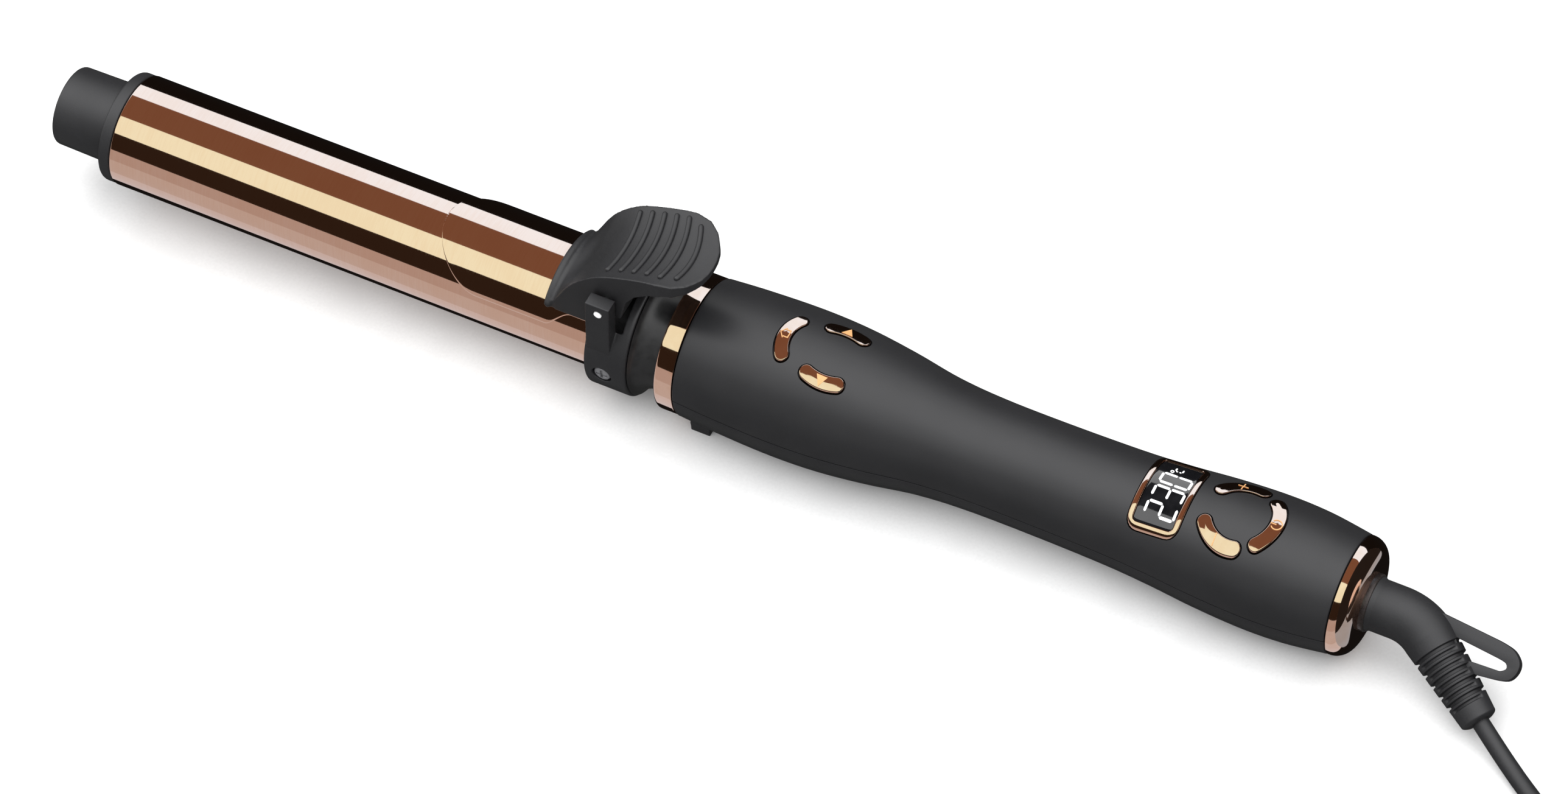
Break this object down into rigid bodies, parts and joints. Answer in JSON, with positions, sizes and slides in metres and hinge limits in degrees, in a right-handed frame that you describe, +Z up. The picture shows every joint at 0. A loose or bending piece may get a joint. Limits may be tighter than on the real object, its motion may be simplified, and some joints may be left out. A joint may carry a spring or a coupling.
{
  "type": "curling iron",
  "caption": "Auto-rotating clamp curling iron: heated barrel with spring clamp and thumb lever, waisted handle with buttons, display and fold-out stand, swivel cord with coiled lead and plug.",
  "frame": {"origin": "centre of the iron's own box at the table it rests on, the cord, plug and strain relief left out", "axes": "+X along the handle towards the cord, +Z up, away from the table; the iron's own axis leans 1.1 degrees, tip up, as it rests on the stand's foot and the rear of the handle"},
  "size_m": [0.5434, 0.083, 0.0624],
  "materials": {
    "rose_gold_plate": "rose-gold mirror plating",
    "rose_gold_barrel": "rose-gold mirror coating on an aluminium tube",
    "black_soft_shell": "soft-touch black, satin sheen",
    "black_plastic": "fine matte moulding",
    "black_rubber": "flexible moulded PVC",
    "cord_sheath": "smooth PVC sheath",
    "steel": "bright zinc or nickel plate",
    "aluminium": "extruded",
    "brass": "bright",
    "ceramic": "fired, matte",
    "acetal": "natural white",
    "circuit_board": "green solder mask",
    "display_glass": "smoked, glossy"
  },
  "bodies": {
    "handle": {"gear_motor": "steel", "front_bearing": "acetal", "brush_block": "black_plastic", "front_ring": "rose_gold_plate", "handle_shell_upper": "black_soft_shell", "handle_shell_lower": "black_soft_shell", "shell_screw_1": "steel", "shell_screw_2": "steel", "shell_screw_3": "steel", "shell_screw_4": "steel", "display_bezel": "rose_gold_plate", "display_window": "display_glass", "display_module": "black_plastic", "front_board": "circuit_board", "home_switch": "black_plastic", "up_switch": "black_plastic", "down_switch": "black_plastic", "main_board": "circuit_board", "plus_switch": "black_plastic", "minus_switch": "black_plastic", "power_switch": "black_plastic", "stand_pin": "steel", "end_cap": "rose_gold_plate", "swivel_socket": "acetal", "swivel_ball": "black_plastic", "mains_lead": "cord_sheath", "strain_relief": "black_rubber", "cord_lead": "cord_sheath", "cord_coil": "cord_sheath", "coil_tie": "black_plastic", "cord_tail": "cord_sheath", "plug_body": "black_rubber", "plug_blade_1": "brass", "plug_blade_2": "brass"},
    "barrel_head": {"cool_tip": "black_plastic", "barrel": "rose_gold_barrel", "heat_spreader_upper": "aluminium", "heat_spreader_lower": "aluminium", "ptc_heater": "ceramic", "thermistor": "ceramic", "thermal_fuse": "steel", "neck_sleeve": "black_plastic", "collar": "black_plastic", "collar_screw_far": "steel", "collar_screw_near": "steel", "hinge_pin": "steel", "clamp_spring": "steel", "drive_gear": "acetal", "slip_ring_drum": "brass", "heater_lead": "cord_sheath"},
    "clamp": {"clamp_plate": "rose_gold_barrel", "thumb_lever": "black_plastic"},
    "motor_shaft": {"motor_pinion": "brass"},
    "stand_leg": {"stand": "black_plastic"},
    "home_key": {"home_button": "rose_gold_plate"},
    "up_key": {"up_button": "rose_gold_plate"},
    "down_key": {"down_button": "rose_gold_plate"},
    "plus_key": {"plus_button": "rose_gold_plate"},
    "minus_key": {"minus_button": "rose_gold_plate"},
    "power_key": {"power_button": "rose_gold_plate"}
  },
  "joints": [
    {"name": "barrel_spin", "type": "hinge", "parent": "handle", "child": "barrel_head", "pos_m": [0.001, 0, 0.02197], "axis": [0.9998, 0, -0.0192], "continuous": true},
    {"name": "motor_spin", "type": "hinge", "parent": "handle", "child": "motor_shaft", "pos_m": [0.02081, 0, 0.01198], "axis": [0.9998, 0, -0.0192], "continuous": true},
    {"name": "clamp_hinge", "type": "hinge", "parent": "barrel_head", "child": "clamp", "pos_m": [-0.02012, 0, 0.04718], "axis": [0, 1, 0], "range_deg": [0, 22], "stiffness_Nm_per_rad": 0.25, "springref_deg": -34.38, "deforming": ["clamp_spring"]},
    {"name": "stand_fold", "type": "hinge", "parent": "handle", "child": "stand_leg", "pos_m": [0.00423, 0, 0.003], "axis": [0, 1, 0], "range_deg": [0, 40]},
    {"name": "home_press", "type": "slide", "parent": "handle", "child": "home_key", "axis": [-0.0192, 0, -0.9998], "range_m": [0, 0.0006], "stiffness_N_per_m": 1500, "springref_m": -0.0003},
    {"name": "up_press", "type": "slide", "parent": "handle", "child": "up_key", "axis": [-0.0192, 0, -0.9998], "range_m": [0, 0.0006], "stiffness_N_per_m": 1500, "springref_m": -0.0003},
    {"name": "down_press", "type": "slide", "parent": "handle", "child": "down_key", "axis": [-0.0192, 0, -0.9998], "range_m": [0, 0.0006], "stiffness_N_per_m": 1500, "springref_m": -0.0003},
    {"name": "plus_press", "type": "slide", "parent": "handle", "child": "plus_key", "axis": [-0.0192, 0, -0.9998], "range_m": [0, 0.0006], "stiffness_N_per_m": 1500, "springref_m": -0.0003},
    {"name": "minus_press", "type": "slide", "parent": "handle", "child": "minus_key", "axis": [-0.0192, 0, -0.9998], "range_m": [0, 0.0006], "stiffness_N_per_m": 1500, "springref_m": -0.0003},
    {"name": "power_press", "type": "slide", "parent": "handle", "child": "power_key", "axis": [-0.0192, 0, -0.9998], "range_m": [0, 0.0006], "stiffness_N_per_m": 1500, "springref_m": -0.0003}
  ],
  "couplings": [
    {"joint": "motor_spin", "follows": "barrel_spin", "ratio": -2}
  ]
}
